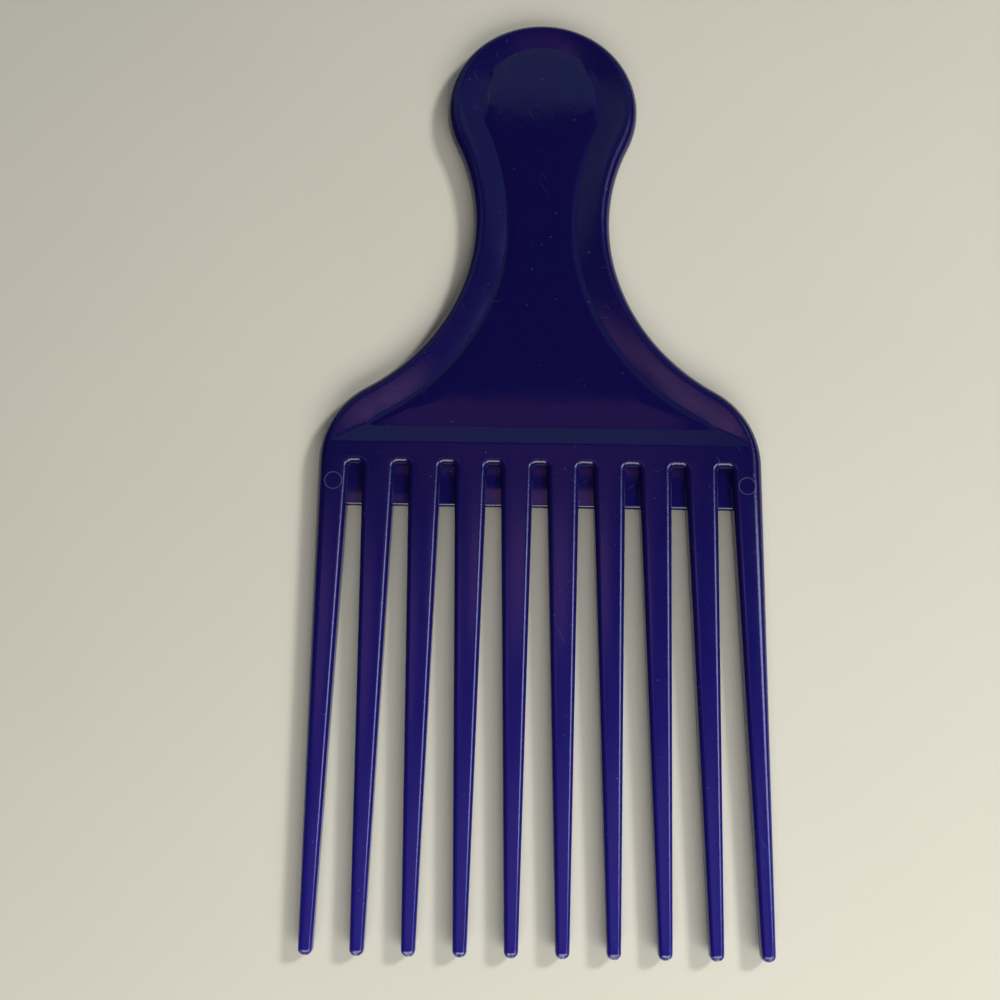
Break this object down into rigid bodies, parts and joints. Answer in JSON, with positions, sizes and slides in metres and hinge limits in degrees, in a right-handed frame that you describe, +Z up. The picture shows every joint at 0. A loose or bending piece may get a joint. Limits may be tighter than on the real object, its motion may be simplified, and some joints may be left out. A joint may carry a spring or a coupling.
{
  "type": "afro pick",
  "caption": "Flat moulded lift comb with long tapering teeth, a wide spine and a waisted paddle handle with a raised rim round a sunk panel, for lifting and shaping hair.",
  "frame": {"origin": "under the middle of the comb's box, on the surface that it lies on", "axes": "+Y along the comb from the teeth to the head of the handle, +X across the teeth, +Z up through the thickness, out of the front face"},
  "size_m": [0.082, 0.1774, 0.0046],
  "materials": {
    "plastic": "glossy moulded plastic, dark indigo blue, lightly scratched"
  },
  "bodies": {
    "root": {"handle_panel": "plastic", "handle_rim": "plastic", "spine": "plastic", "tooth_01": "plastic", "tooth_02": "plastic", "tooth_03": "plastic", "tooth_04": "plastic", "tooth_05": "plastic", "tooth_06": "plastic", "tooth_07": "plastic", "tooth_08": "plastic", "tooth_09": "plastic", "tooth_10": "plastic", "root_web_1": "plastic", "root_web_2": "plastic", "root_web_3": "plastic", "root_web_4": "plastic", "root_web_5": "plastic", "root_web_6": "plastic", "root_web_7": "plastic", "root_web_8": "plastic", "root_web_9": "plastic"}
  },
  "joints": []
}
